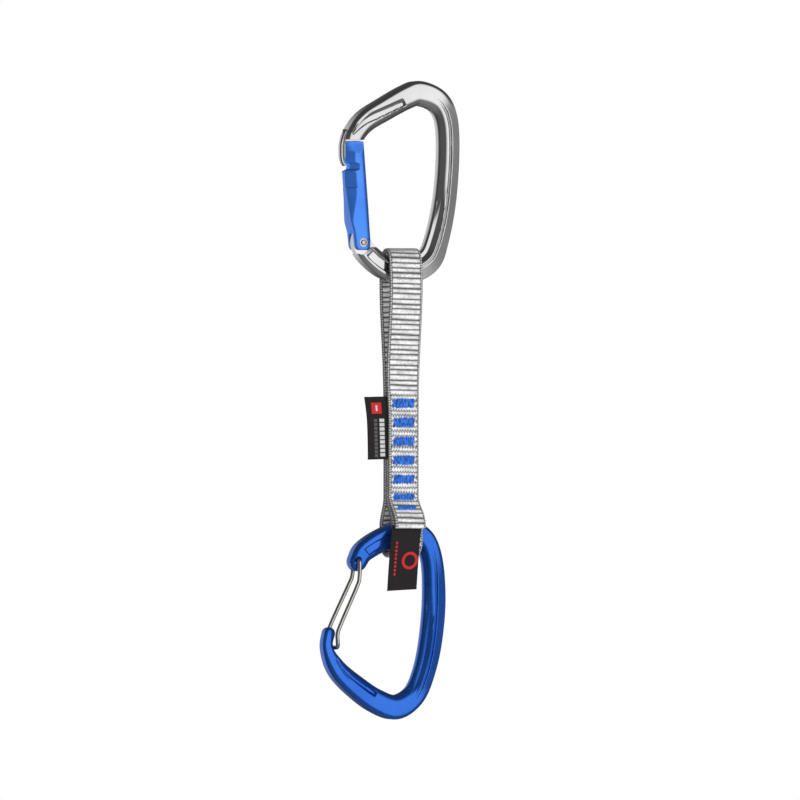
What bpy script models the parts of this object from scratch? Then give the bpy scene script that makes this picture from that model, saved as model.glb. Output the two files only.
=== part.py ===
"""Climbing quickdraw: two carabiners joined by a sewn webbing sling.

Lengths are in millimetres and are turned into metres when each mesh is made.
X runs across the carabiners, Y through their thickness and Z up. The origin is
the point inside the upper carabiner's top basket that rests on a bolt hanger.
"""
import math

import bmesh
import bpy
import numpy as np

MM = 0.001
TOUCH_GAP = 0.3

# Carabiner bars. A station is x, z, half depth in the plane, half thickness.
UPPER_STATIONS = [
    (-37.4, -22.0, 4.6, 5.0), (-36.2, -16.2, 5.0, 5.0), (-29.8, -8.3, 5.5, 5.0),
    (-18.2, -1.5, 5.8, 5.0), (-7.1, 4.2, 6.0, 5.0), (0.0, 6.1, 6.1, 5.0),
    (10.0, 2.2, 5.8, 5.0), (14.8, -7.3, 5.3, 5.0), (15.7, -24.4, 5.1, 5.0),
    (13.7, -46.4, 5.2, 5.0), (9.4, -65.4, 5.7, 5.0), (4.2, -76.0, 6.2, 5.0),
    (-7.7, -81.2, 6.0, 5.0), (-18.4, -79.0, 5.7, 5.0), (-26.8, -73.6, 5.4, 5.0),
    (-31.2, -68.0, 5.2, 5.0), (-31.9, -62.4, 3.6, 5.0),
]
LOWER_STATIONS = [
    (-33.6, -222.4, 4.8, 4.2), (-30.9, -218.2, 5.2, 4.4), (-25.4, -214.6, 5.5, 4.6),
    (-17.6, -211.0, 5.6, 4.6), (-7.7, -208.0, 5.8, 4.6), (2.2, -211.6, 5.2, 4.6),
    (6.9, -222.8, 4.9, 4.6), (7.9, -241.6, 5.1, 4.6), (6.2, -261.1, 5.1, 4.6),
    (2.7, -276.7, 5.2, 4.6), (-3.2, -288.2, 5.5, 4.6), (-13.1, -293.7, 6.0, 4.6),
    (-24.1, -290.2, 5.9, 4.6), (-34.0, -283.8, 5.6, 4.6), (-42.4, -277.0, 5.0, 4.5),
    (-46.9, -271.6, 4.2, 4.2), (-49.6, -266.4, 3.1, 3.5), (-50.3, -262.0, 2.8, 3.2),
    (-49.2, -257.2, 3.0, 3.1),
]
RINGS_PER_STATION = 3
INNER_ROUND = 4.2
OUTER_ROUND = 3.4
RECESS_DEPTH = 2.0
RECESS_INNER_MARGIN = 2.6
RECESS_OUTER_MARGIN = 3.2
RECESS_WALL = 0.9
UPPER_RECESS_SPAN = (5.6, 6.6, 11.2, 12.0)
LOWER_RECESS_SPAN = (5.0, 6.0, 9.4, 10.4)

# Solid gate of the upper carabiner, hung on its rivet.
GATE_PIVOT = (-32.2, -67.1)
GATE_TILT = math.radians(4.7)
GATE_HALF_THICKNESS = 4.5
GATE_EDGE_ROUND = 1.6
GATE_OUTLINE = [
    (-31.5, -17.9), (-40.2, -17.9), (-40.2, -28.2), (-38.7, -29.4), (-38.7, -31.4),
    (-40.2, -32.8), (-39.9, -37.0), (-38.1, -57.0), (-36.8, -62.0), (-36.2, -69.2),
    (-34.6, -70.8), (-29.6, -70.8), (-28.0, -69.2), (-27.7, -66.0),
]
# Pockets pressed into both faces, outlined in x, z.
POCKET_DEPTH = 1.4
UPPER_HALF_THICKNESS = 5.0
LOWER_HALF_THICKNESS = 4.6
UPPER_WEDGE = [
    (-37.0, -10.4), (-24.6, -1.0), (-10.6, 5.0), (-11.6, 0.2), (-15.0, -1.2), (-25.6, -5.6),
]
UPPER_TRAPEZOID = [(-27.6, -75.8), (-24.8, -72.4), (-18.6, -77.2), (-18.6, -82.0)]
LOWER_TRAPEZOID = [(-30.4, -217.2), (-20.0, -209.6), (-20.0, -212.4), (-25.4, -216.6)]
LOWER_WEDGE = [
    (-44.6, -271.4), (-38.4, -279.8), (-27.2, -287.2), (-24.6, -292.2), (-36.0, -286.4),
]
# Cutter boxes as x0, x1, z0, z1. They reach past the bar on their open sides.
CUTTER_HALF_Y = 9.0
NOSE_SLOT = (-48.0, -34.8, -31.0, -10.0)
TANG_CUT_REACH = 14.0
NOSE_SHOULDER_Z = -17.1
NOSE_CUT = (-50.0, -28.0, -32.0, NOSE_SHOULDER_Z)
NOSE_TONGUE_HALF = 1.6
NOSE_SLOT_HALF = 2.0
NOSE_TONGUE = [
    (-36.2, -12.0), (-40.8, -12.0), (-43.0, -18.0), (-43.4, -22.0), (-43.2, -26.0),
    (-42.3, -28.8), (-40.9, -30.0), (-39.6, -30.2), (-39.6, -29.4), (-40.7, -28.9),
    (-41.6, -27.8), (-41.9, -26.0), (-36.2, -26.0),
]
TANG_HALF = 1.9
TANG_SLOT_HALF = 2.25
TANG_SHOULDER_RADIUS = 6.0
TANG_SHOULDER_DROP = 2.2
SLOT_TOP = 6.8
RIVET_RADIUS = 1.5
RIVET_HEAD_RADIUS = 2.1
RIVET_HEAD_DEPTH = 0.8
BORE_OFFSET = 0.5
BORE_RADIUS = 1.75
BORE_TOP = 27.0
PLUNGER_RADIUS = 1.4
PLUNGER_FOOT = 5.5
PLUNGER_LENGTH = 6.0
SPRING_WIRE = 0.3
SPRING_TURNS = 8

# Wire gate of the lower carabiner. Its two ends sit in offset holes.
WIRE_RADIUS = 1.0
WIRE_HOLE_RADIUS = 1.85
WIRE_LEG_Y = 5.6
WIRE_END_Y = 2.3
WIRE_HOLE_FLOOR_Y = 1.6
FRONT_HOLE = (-35.0, -221.6)
REAR_HOLE = (-33.0, -223.4)
# The wire's bends between its two ends: down the front leg, round the loop and up the rear leg.
WIRE_TURN_INSET = 1.2
WIRE_TURN_DROP = 1.4
WIRE_BENDS = [
    (-35.2, -5.6, -229.8), (-36.6, -5.6, -234.6), (-44.8, -5.5, -251.6), (-46.9, -5.4, -257.0),
    (-46.8, -5.2, -260.8), (-46.4, -4.4, -263.2), (-46.1, -2.2, -264.0), (-46.1, 2.2, -264.0),
    (-46.4, 4.4, -263.2), (-46.8, 5.2, -260.8), (-46.7, 5.4, -257.0), (-44.4, 5.5, -251.2),
    (-35.4, 5.6, -233.8), (-33.6, 5.6, -229.8),
]

# Sling: one strip of webbing folded into a loose upper and a tight lower loop.
STRAP_X = -9.6
STRAP_WIDTH = 16.5
PLY = 2.2
PLY_PITCH = PLY + TOUCH_GAP
UPPER_AXIS_Z = -77.2
LOWER_AXIS_Z = -212.8
UPPER_LOOP_RADIUS = 6.6
LOWER_LOOP_RADIUS = 6.7
LOOP_BULGE = 8.1
BULGE_DROP = 9.0
SEWN_TOP_Z = -142.5
SEWN_BOTTOM_Z = -194.2
LOWER_SPREAD_Z = -205.2
FLAP_END_Z = -206.4
FLAP_LIFT = 1.7
TACK_COUNT = 6
TACK_TOP_Z = -145.4
TACK_PITCH = 9.25
TACK_X = STRAP_X + 0.9
TACK_HALF = (5.6, 2.0)
TACK_CORE_HALF = (3.6, 0.5)
TACK_RELIEF = 0.5
STITCH_HALF = (5.0, 1.1)
STITCH_Z = -198.0
LABEL_THICKNESS = 0.8
LABEL_TUCK = 3.0
LABEL_Z = (-172.6, -142.0)
LABEL_OUT = 9.4
TAG_SIZE = (16.0, 0.7, 32.0)
TAG_TOP = (-9.8, -8.75, -204.6)
TAG_LEAN = math.radians(8.0)
TAG_FLARE = math.radians(5.0)

COLORS = {
    "grey_anodised": ((0.42, 0.42, 0.43), 1.0, 0.3),
    "blue_anodised": ((0.02, 0.13, 0.62), 1.0, 0.3),
    "stainless": ((0.62, 0.6, 0.57), 1.0, 0.25),
    "webbing_grey": ((0.55, 0.55, 0.56), 0.0, 0.85),
    "thread_blue": ((0.03, 0.16, 0.6), 0.0, 0.7),
    "label_black": ((0.02, 0.018, 0.018), 0.0, 0.75),
}


def clear_scene():
    for obj in list(bpy.data.objects):
        bpy.data.objects.remove(obj, do_unlink=True)


def material(name):
    found = bpy.data.materials.get(name)
    if found:
        return found
    color, metallic, roughness = COLORS[name]
    made = bpy.data.materials.new(name)
    made.use_nodes = True
    shader = made.node_tree.nodes["Principled BSDF"]
    shader.inputs["Base Color"].default_value = (*color, 1.0)
    shader.inputs["Metallic"].default_value = metallic
    shader.inputs["Roughness"].default_value = roughness
    return made


def add_mesh(name, shapes, material_name=None, origin=(0.0, 0.0, 0.0), smooth_angle=None):
    """One object from (verts, faces) shapes in millimetres, its origin on a joint axis."""
    bm = bmesh.new()
    for verts, faces in shapes:
        made = [bm.verts.new([(v[i] - origin[i]) * MM for i in range(3)]) for v in verts]
        for face in faces:
            bm.faces.new([made[i] for i in face])
    bmesh.ops.recalc_face_normals(bm, faces=bm.faces)
    mesh = bpy.data.meshes.new(name)
    bm.to_mesh(mesh)
    bm.free()
    obj = bpy.data.objects.new(name, mesh)
    obj.location = [c * MM for c in origin]
    bpy.context.scene.collection.objects.link(obj)
    if material_name:
        mesh.materials.append(material(material_name))
    if smooth_angle:
        mesh.shade_smooth()
        mesh.set_sharp_from_angle(angle=math.radians(smooth_angle))
    return obj


def helper(name, shapes):
    """A solid used only to cut or extend another one."""
    obj = add_mesh(name, shapes)
    obj.hide_render = True
    obj.display_type = "WIRE"
    return obj


def boolean(target, tool, operation):
    modifier = target.modifiers.new(tool.name, "BOOLEAN")
    modifier.object = tool
    modifier.operation = operation
    modifier.solver = "EXACT"


def bridge_rings(rings):
    """Closed skin over equal-length rings, with a flat cap on each end."""
    count = len(rings[0])
    verts = [tuple(p) for ring in rings for p in ring]
    faces = []
    for i in range(len(rings) - 1):
        for j in range(count):
            k = (j + 1) % count
            faces.append((i * count + j, i * count + k, (i + 1) * count + k, (i + 1) * count + j))
    faces.append(tuple(range(count)))
    last = (len(rings) - 1) * count
    faces.append(tuple(range(last + count - 1, last - 1, -1)))
    return verts, faces


def prism_y(outline, y0, y1):
    """An XZ outline extruded along Y."""
    return bridge_rings([[(x, y, z) for x, z in outline] for y in (y0, y1)])


def prism_x(outline, x0, x1):
    """A YZ outline extruded along X."""
    return bridge_rings([[(x, y, z) for y, z in outline] for x in (x0, x1)])


def box(x0, x1, y0, y1, z0, z1):
    return prism_y([(x0, z0), (x1, z0), (x1, z1), (x0, z1)], y0, y1)


def circle(center, radius, count):
    angles = [2.0 * math.pi * i / count for i in range(count)]
    return [(center[0] + radius * math.cos(a), center[1] + radius * math.sin(a)) for a in angles]


def turned_y(center, profile, count=16):
    """A round piece about a Y axis through center, from (y, radius) pairs."""
    rings = [[(x, y, z) for x, z in circle(center, radius, count)] for y, radius in profile]
    return bridge_rings(rings)


def gate_point(x, y, w):
    """A point given across and up the solid gate from its rivet."""
    cos_t = math.cos(GATE_TILT)
    sin_t = math.sin(GATE_TILT)
    return (GATE_PIVOT[0] + x * cos_t - w * sin_t, y, GATE_PIVOT[1] + x * sin_t + w * cos_t)


def turned_gate_axis(profile, count=12):
    """A round piece on the gate's inner bore, from (height, radius) pairs."""
    rings = []
    for w, radius in profile:
        rings.append([gate_point(BORE_OFFSET + x, y, w) for x, y in circle((0, 0), radius, count)])
    return bridge_rings(rings)


def smoothstep(value):
    value = min(max(value, 0.0), 1.0)
    return value * value * (3.0 - 2.0 * value)


def smooth_rows(rows, per_span):
    """Catmull-Rom rows through the given ones, with the position in spans as last column."""
    rows = np.array(rows, dtype=float)
    padded = np.vstack([2 * rows[0] - rows[1], rows, 2 * rows[-1] - rows[-2]])
    result = []
    for i in range(len(rows) - 1):
        p0, p1, p2, p3 = padded[i:i + 4]
        for step in range(per_span):
            t = step / per_span
            value = 0.5 * (2 * p1 + (p2 - p0) * t + (2 * p0 - 5 * p1 + 4 * p2 - p3) * t ** 2
                           + (3 * p1 - p0 - 3 * p2 + p3) * t ** 3)
            result.append([*value, i + t])
    result.append([*rows[-1], len(rows) - 1])
    return np.array(result)


def bar_section(half_depth, half_thick, recess):
    """Half of a bar's section as (outward, through) pairs, from the inner to the outer edge."""
    inner = min(INNER_ROUND, half_thick * 0.85, half_depth * 0.75)
    outer = min(OUTER_ROUND, half_thick * 0.7, half_depth * 0.6)
    points = []
    for angle in (180, 208, 238, 270):
        a = math.radians(angle)
        points.append((-half_depth + inner + inner * math.cos(a),
                       half_thick - inner - inner * math.sin(a)))
    low = -half_depth + min(RECESS_INNER_MARGIN + 1.8, half_depth * 0.85)
    high = half_depth - max(RECESS_OUTER_MARGIN, outer + 0.2)
    wall = min(RECESS_WALL, (high - low) * 0.3)
    depth = recess * RECESS_DEPTH
    points += [(low, half_thick), (low + wall, half_thick - depth)]
    points += [(high - wall, half_thick - depth), (high, half_thick)]
    for angle in (270, 300, 330, 360):
        a = math.radians(angle)
        points.append((half_depth - outer + outer * math.cos(a),
                       half_thick - outer - outer * math.sin(a)))
    return points


def bar_rings(stations, recess_span, round_start, round_end):
    """Rings along a carabiner's bar; a rounded end closes over its own half depth."""
    rows = smooth_rows(stations, RINGS_PER_STATION)
    tangents = np.gradient(rows[:, :2], axis=0)
    tangents /= np.linalg.norm(tangents, axis=1)[:, None]
    on0, on1, off0, off1 = recess_span
    rings = []
    for (x, z, depth, thick, place), (tx, tz) in zip(rows, tangents):
        recess = smoothstep((place - on0) / (on1 - on0)) * smoothstep((off1 - place) / (off1 - off0))
        half = bar_section(depth, thick, recess)
        section = [(u, -v) for u, v in half] + [(u, v) for u, v in reversed(half)]
        rings.append([(x - tz * u, v, z + tx * u) for u, v in section])
    rings = [np.array(ring) for ring in rings]
    if round_start:
        rings = round_cap(rings[0], rows[0], -tangents[0])[::-1] + rings
    if round_end:
        rings = rings + round_cap(rings[-1], rows[-1], tangents[-1])
    return [[tuple(p) for p in ring] for ring in rings]


def round_cap(ring, row, direction):
    """Shrinking rings that round off the end of a bar."""
    center = np.array([row[0], 0.0, row[1]])
    step = np.array([direction[0], 0.0, direction[1]])
    rings = []
    for angle in (30, 55, 75):
        a = math.radians(angle)
        scale = np.array([math.cos(a), 0.45 + 0.55 * math.cos(a), math.cos(a)])
        rings.append(center + (ring - center) * scale + step * row[2] * math.sin(a))
    return rings


def both_faces(outline, depth, face):
    """A pocket outline cut into the front and the rear face of a bar."""
    return [prism_y(outline, side * (face - depth), side * (face + 1.0)) for side in (-1, 1)]


def upper_frame():
    stations = UPPER_STATIONS
    frame = add_mesh("upper_frame", [bridge_rings(bar_rings(stations, UPPER_RECESS_SPAN, False, False))],
                     "grey_anodised", smooth_angle=40)
    px, pz = GATE_PIVOT
    reach = math.sqrt(TANG_SHOULDER_RADIUS ** 2 - TANG_SHOULDER_DROP ** 2)
    start = math.atan2(-TANG_SHOULDER_DROP, -reach)
    end = math.atan2(-TANG_SHOULDER_DROP, reach)
    arc = [start + (end - start) * i / 10 for i in range(11)]
    far = TANG_CUT_REACH
    shoulder = [(px - far, pz + far), (px - far, pz - TANG_SHOULDER_DROP)]
    shoulder += [(px + TANG_SHOULDER_RADIUS * math.cos(a), pz + TANG_SHOULDER_RADIUS * math.sin(a))
                 for a in arc]
    shoulder += [(px + far, pz - TANG_SHOULDER_DROP), (px + far, pz + far)]
    cheeks = [prism_y(shoulder, side * TANG_HALF, side * CUTTER_HALF_Y) for side in (-1, 1)]
    nose = box(NOSE_CUT[0], NOSE_CUT[1], -CUTTER_HALF_Y, CUTTER_HALF_Y, NOSE_CUT[2], NOSE_CUT[3])
    boolean(frame, helper("cut_tang", cheeks + [nose]), "DIFFERENCE")
    hole = RIVET_RADIUS + TOUCH_GAP
    rivet_hole = turned_y(GATE_PIVOT, [(-CUTTER_HALF_Y, hole), (CUTTER_HALF_Y, hole)])
    boolean(frame, helper("cut_rivet_hole", [rivet_hole]), "DIFFERENCE")
    pockets = []
    for outline in (UPPER_WEDGE, UPPER_TRAPEZOID):
        pockets += both_faces(outline, POCKET_DEPTH, UPPER_HALF_THICKNESS)
    boolean(frame, helper("cut_upper_pockets", pockets), "DIFFERENCE")
    tongue = [prism_y(NOSE_TONGUE, -NOSE_TONGUE_HALF, NOSE_TONGUE_HALF)]
    boolean(frame, helper("add_nose_tongue", tongue), "UNION")
    return frame


def upper_gate():
    bm_shape = prism_y(GATE_OUTLINE, -GATE_HALF_THICKNESS, GATE_HALF_THICKNESS)
    origin = (GATE_PIVOT[0], 0.0, GATE_PIVOT[1])
    gate = add_mesh("upper_gate", [bm_shape], "blue_anodised", origin, smooth_angle=40)
    bevel = gate.modifiers.new("edge_round", "BEVEL")
    bevel.width = GATE_EDGE_ROUND * MM
    bevel.segments = 3
    bevel.limit_method = "ANGLE"
    bevel.angle_limit = math.radians(60)
    slot = [gate_point(x, 0, w)[::2] for x, w in ((-14, -8), (14, -8), (14, SLOT_TOP), (-14, SLOT_TOP))]
    hinge_slot = prism_y(slot, -TANG_SLOT_HALF, TANG_SLOT_HALF)
    nose_slot = box(NOSE_SLOT[0], NOSE_SLOT[1], -NOSE_SLOT_HALF, NOSE_SLOT_HALF, NOSE_SLOT[2], NOSE_SLOT[3])
    boolean(gate, helper("cut_gate_slots", [hinge_slot, nose_slot]), "DIFFERENCE")
    head = RIVET_HEAD_RADIUS + TOUCH_GAP
    shaft = RIVET_RADIUS + TOUCH_GAP
    face = GATE_HALF_THICKNESS
    floor = face - RIVET_HEAD_DEPTH - TOUCH_GAP
    hole = turned_y(GATE_PIVOT, [(-face - 1, head), (-floor, head), (-floor, shaft),
                                 (floor, shaft), (floor, head), (face + 1, head)])
    boolean(gate, helper("cut_gate_rivet_hole", [hole]), "DIFFERENCE")
    bore = turned_gate_axis([(SLOT_TOP - 2, BORE_RADIUS), (BORE_TOP, BORE_RADIUS)])
    boolean(gate, helper("cut_gate_bore", [bore]), "DIFFERENCE")
    return gate


def rivet():
    face = GATE_HALF_THICKNESS
    inside = face - RIVET_HEAD_DEPTH
    profile = [(-face - 0.1, RIVET_HEAD_RADIUS - 0.6), (-face + 0.15, RIVET_HEAD_RADIUS),
               (-inside, RIVET_HEAD_RADIUS), (-inside, RIVET_RADIUS), (inside, RIVET_RADIUS),
               (inside, RIVET_HEAD_RADIUS), (face - 0.15, RIVET_HEAD_RADIUS),
               (face + 0.1, RIVET_HEAD_RADIUS - 0.6)]
    origin = (GATE_PIVOT[0], 0.0, GATE_PIVOT[1])
    add_mesh("upper_gate_rivet", [turned_y(GATE_PIVOT, profile)], "stainless", origin, 40)


def plunger_and_spring():
    foot = PLUNGER_FOOT
    top = foot + PLUNGER_LENGTH
    profile = [(foot, 0.7), (foot + 0.4, 1.2), (foot + 1.0, PLUNGER_RADIUS), (top, PLUNGER_RADIUS)]
    add_mesh("upper_gate_plunger", [turned_gate_axis(profile)], "stainless",
             gate_point(BORE_OFFSET, 0.0, foot), 40)
    low = top + TOUCH_GAP + SPRING_WIRE
    high = BORE_TOP - TOUCH_GAP - SPRING_WIRE
    radius = BORE_RADIUS - TOUCH_GAP - SPRING_WIRE
    steps = SPRING_TURNS * 8
    rings = []
    for i in range(steps + 1):
        turn = 2.0 * math.pi * SPRING_TURNS * i / steps
        height = low + (high - low) * i / steps
        ring = []
        for side in range(5):
            a = 2.0 * math.pi * side / 5
            r = radius + SPRING_WIRE * math.cos(a)
            ring.append(gate_point(BORE_OFFSET + r * math.cos(turn), r * math.sin(turn),
                                   height + SPRING_WIRE * math.sin(a)))
        rings.append(ring)
    add_mesh("upper_gate_spring", [bridge_rings(rings)], "stainless", smooth_angle=60)


def lower_frame():
    rings = bar_rings(LOWER_STATIONS, LOWER_RECESS_SPAN, True, True)
    frame = add_mesh("lower_frame", [bridge_rings(rings)], "blue_anodised",
                     (0.0, 0.0, LOWER_AXIS_Z), smooth_angle=40)
    radius = WIRE_HOLE_RADIUS
    holes = [turned_y(FRONT_HOLE, [(-CUTTER_HALF_Y, radius), (-WIRE_HOLE_FLOOR_Y, radius)]),
             turned_y(REAR_HOLE, [(WIRE_HOLE_FLOOR_Y, radius), (CUTTER_HALF_Y, radius)])]
    boolean(frame, helper("cut_wire_holes", holes), "DIFFERENCE")
    pockets = []
    for outline in (LOWER_TRAPEZOID, LOWER_WEDGE):
        pockets += both_faces(outline, POCKET_DEPTH, LOWER_HALF_THICKNESS)
    boolean(frame, helper("cut_lower_pockets", pockets), "DIFFERENCE")
    return frame


def wire_route():
    """The bent wire's centreline from its front end round the loop to its rear end."""
    turn_y = WIRE_LEG_Y - WIRE_TURN_INSET
    front = [(FRONT_HOLE[0], -WIRE_END_Y, FRONT_HOLE[1]),
             (FRONT_HOLE[0], -turn_y, FRONT_HOLE[1]),
             (FRONT_HOLE[0], -WIRE_LEG_Y, FRONT_HOLE[1] - WIRE_TURN_DROP)]
    rear = [(REAR_HOLE[0], WIRE_LEG_Y, REAR_HOLE[1] - WIRE_TURN_DROP),
            (REAR_HOLE[0], turn_y, REAR_HOLE[1]),
            (REAR_HOLE[0], WIRE_END_Y, REAR_HOLE[1])]
    return front + WIRE_BENDS + rear


def tube_rings(path, radius, sides):
    """Rings round a path, carried along without twist."""
    path = np.array(path)
    tangents = np.gradient(path, axis=0)
    tangents /= np.linalg.norm(tangents, axis=1)[:, None]
    across = np.cross(tangents[0], (0.3, 0.2, 1.0))
    rings = []
    for point, tangent in zip(path, tangents):
        across = across - tangent * np.dot(across, tangent)
        across /= np.linalg.norm(across)
        other = np.cross(tangent, across)
        ring = []
        for side in range(sides):
            a = 2.0 * math.pi * side / sides
            ring.append(tuple(point + radius * (math.cos(a) * across + math.sin(a) * other)))
        rings.append(ring)
    return rings


def wire_gate():
    path = smooth_rows(wire_route(), 3)[:, :3]
    pivot = ((FRONT_HOLE[0] + REAR_HOLE[0]) / 2, 0.0, (FRONT_HOLE[1] + REAR_HOLE[1]) / 2)
    add_mesh("lower_wire_gate", [bridge_rings(tube_rings(path, WIRE_RADIUS, 8))], "stainless", pivot, 60)


def upper_loop_half(z):
    """Half spacing of the upper loop's plies, centre to centre, at height z."""
    drop = UPPER_AXIS_Z - z
    if drop < BULGE_DROP:
        return UPPER_LOOP_RADIUS + (LOOP_BULGE - UPPER_LOOP_RADIUS) * smoothstep(drop / BULGE_DROP)
    share = (drop - BULGE_DROP) / (UPPER_AXIS_Z - BULGE_DROP - SEWN_TOP_Z)
    return LOOP_BULGE + (PLY_PITCH - LOOP_BULGE) * smoothstep(share)


def lower_loop_y(z, sewn_y, side):
    """Y of the ply that leaves the sewn zone at sewn_y and goes down one side of the lower bar."""
    share = (SEWN_BOTTOM_Z - z) / (SEWN_BOTTOM_Z - LOWER_SPREAD_Z)
    return sewn_y + (side * LOWER_LOOP_RADIUS - sewn_y) * smoothstep(share)


def heights(z0, z1, count):
    return [z0 + (z1 - z0) * i / count for i in range(count + 1)]


def strap_route():
    """The sling's centreline in YZ: front ply up, over, rear ply down, round and up the middle."""
    flap = []
    for z in heights(FLAP_END_Z, SEWN_BOTTOM_Z, 9):
        share = (SEWN_BOTTOM_Z - z) / (SEWN_BOTTOM_Z - FLAP_END_Z)
        slope = lower_loop_y(z + 0.5, 0.0, -1) - lower_loop_y(z - 0.5, 0.0, -1)
        lift = (PLY_PITCH + FLAP_LIFT * smoothstep(share)) / math.hypot(1.0, slope)
        flap.append((lower_loop_y(z, 0.0, -1) - lift, z + slope * lift))
    up = [(-upper_loop_half(z), z) for z in heights(SEWN_TOP_Z, UPPER_AXIS_Z, 14)]
    over = [(-UPPER_LOOP_RADIUS * math.cos(a), UPPER_AXIS_Z + UPPER_LOOP_RADIUS * math.sin(a))
            for a in [math.pi * i / 12 for i in range(1, 12)]]
    down = [(upper_loop_half(z), z) for z in heights(UPPER_AXIS_Z, SEWN_TOP_Z, 14)]
    spread = [(lower_loop_y(z, PLY_PITCH, 1), z) for z in heights(SEWN_BOTTOM_Z, LOWER_SPREAD_Z, 7)]
    under = [(LOWER_LOOP_RADIUS * math.cos(a), LOWER_AXIS_Z - LOWER_LOOP_RADIUS * math.sin(a))
             for a in [math.pi * i / 12 for i in range(0, 13)]]
    back = [(lower_loop_y(z, 0.0, -1), z) for z in heights(LOWER_SPREAD_Z, SEWN_BOTTOM_Z, 7)]
    return flap + up + over + down + spread + under + back + [(0.0, SEWN_TOP_Z - 0.8)]


def ribbon_outline(route, thickness):
    """The closed outline of a strip of one thickness along a route."""
    route = np.array(route)
    tangents = np.gradient(route, axis=0)
    for i in range(1, len(route) - 1):
        before = route[i] - route[i - 1]
        after = route[i + 1] - route[i]
        tangents[i] = before / np.linalg.norm(before) + after / np.linalg.norm(after)
    tangents /= np.linalg.norm(tangents, axis=1)[:, None]
    normals = np.stack([-tangents[:, 1], tangents[:, 0]], axis=1)
    left = route + normals * thickness / 2
    right = route - normals * thickness / 2
    return [tuple(p) for p in left] + [tuple(p) for p in right[::-1]]


def stepped_block(center, tilt, levels):
    """A block through the plies: (distance, half width, half height) levels along its own Y."""
    cos_t = math.cos(tilt)
    sin_t = math.sin(tilt)
    rings = []
    for depth, half_x, half_z in levels:
        ring = []
        for sx, sz in ((-1, -1), (1, -1), (1, 1), (-1, 1)):
            y = depth * cos_t - sz * half_z * sin_t
            z = depth * sin_t + sz * half_z * cos_t
            ring.append((center[0] + sx * half_x, center[1] + y, center[2] + z))
        rings.append(ring)
    return bridge_rings(rings)


def tack_levels(faces, half, core):
    """Two thread pads on the outer faces, joined by the thread that runs through the plies."""
    front = faces[0] - TOUCH_GAP
    rear = faces[1] + TOUCH_GAP
    return [(front - 0.5, *half), (front, *half), (front, *core), (rear, *core),
            (rear, *half), (rear + 0.5, *half)]


def stitch_place():
    """Centre and tilt of the pair of plies that the end stitch joins."""
    y = lower_loop_y(STITCH_Z, 0.0, -1)
    y_below = lower_loop_y(STITCH_Z - 0.5, 0.0, -1)
    tilt = math.atan2(y - y_below, 0.5)
    return (TACK_X, y - PLY_PITCH / 2 - 0.6, STITCH_Z), -tilt


def sling():
    half_width = STRAP_WIDTH / 2
    outline = ribbon_outline(strap_route(), PLY)
    origin = (0.0, 0.0, UPPER_AXIS_Z)
    strap = add_mesh("sling_webbing", [prism_x(outline, STRAP_X - half_width, STRAP_X + half_width)],
                     "webbing_grey", origin, smooth_angle=30)
    slots = []
    face = PLY_PITCH + PLY / 2
    core = (TACK_CORE_HALF[0], TACK_CORE_HALF[1])
    relief = (core[0] + TACK_RELIEF, core[1] + TACK_RELIEF)
    for i in range(TACK_COUNT):
        center = (TACK_X, 0.0, TACK_TOP_Z - i * TACK_PITCH)
        levels = tack_levels((-face, face), TACK_HALF, core)
        add_mesh(f"bar_tack_{i + 1}", [stepped_block(center, 0.0, levels)], "thread_blue", origin)
        slots.append(stepped_block(center, 0.0, [(-face - 1, *relief), (face + 1, *relief)]))
    center, tilt = stitch_place()
    levels = tack_levels((-3.1, 3.1), STITCH_HALF, core)
    add_mesh("end_stitch", [stepped_block(center, tilt, levels)], "thread_blue", origin)
    slots.append(stepped_block(center, tilt, [(-4.2, *relief), (3.3, *relief)]))
    edge = STRAP_X - half_width
    middle_y = -PLY_PITCH / 2
    slots.append(box(edge - 2, edge + LABEL_TUCK + 0.4, middle_y - LABEL_THICKNESS / 2 - TOUCH_GAP,
                     middle_y + LABEL_THICKNESS / 2 + TOUCH_GAP, LABEL_Z[0] - 0.4, LABEL_Z[1] + 0.4))
    boolean(strap, helper("cut_strap_slots", slots), "DIFFERENCE")
    label = box(edge - LABEL_OUT, edge + LABEL_TUCK, middle_y - LABEL_THICKNESS / 2,
                middle_y + LABEL_THICKNESS / 2, *LABEL_Z)
    add_mesh("side_label", [label], "label_black", origin)


def hang_tag():
    """A folded tag that hangs from under the front ply's end, leaning a little."""
    width, thick, length = TAG_SIZE
    corners = []
    for y in (-thick / 2, thick / 2):
        ring = []
        for x, z in ((-width / 2, 0), (width / 2, 0), (width / 2, -length), (-width / 2, -length)):
            drop = -z
            ring.append((TAG_TOP[0] + x - drop * math.sin(TAG_LEAN),
                         TAG_TOP[1] + y - drop * math.sin(TAG_FLARE),
                         TAG_TOP[2] - drop * math.cos(TAG_LEAN)))
        corners.append(ring)
    add_mesh("hang_tag", [bridge_rings(corners)], "label_black", (0.0, 0.0, UPPER_AXIS_Z))


def main():
    clear_scene()
    upper_frame()
    upper_gate()
    rivet()
    plunger_and_spring()
    lower_frame()
    wire_gate()
    sling()
    hang_tag()


main()
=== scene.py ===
"""Looks of a climbing quickdraw: two forged carabiners and a sewn webbing sling.

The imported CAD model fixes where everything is. Each CAD node is replaced by a finer piece
that fills the same space. Lengths are in millimetres until a mesh is made.
"""
import math

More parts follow.
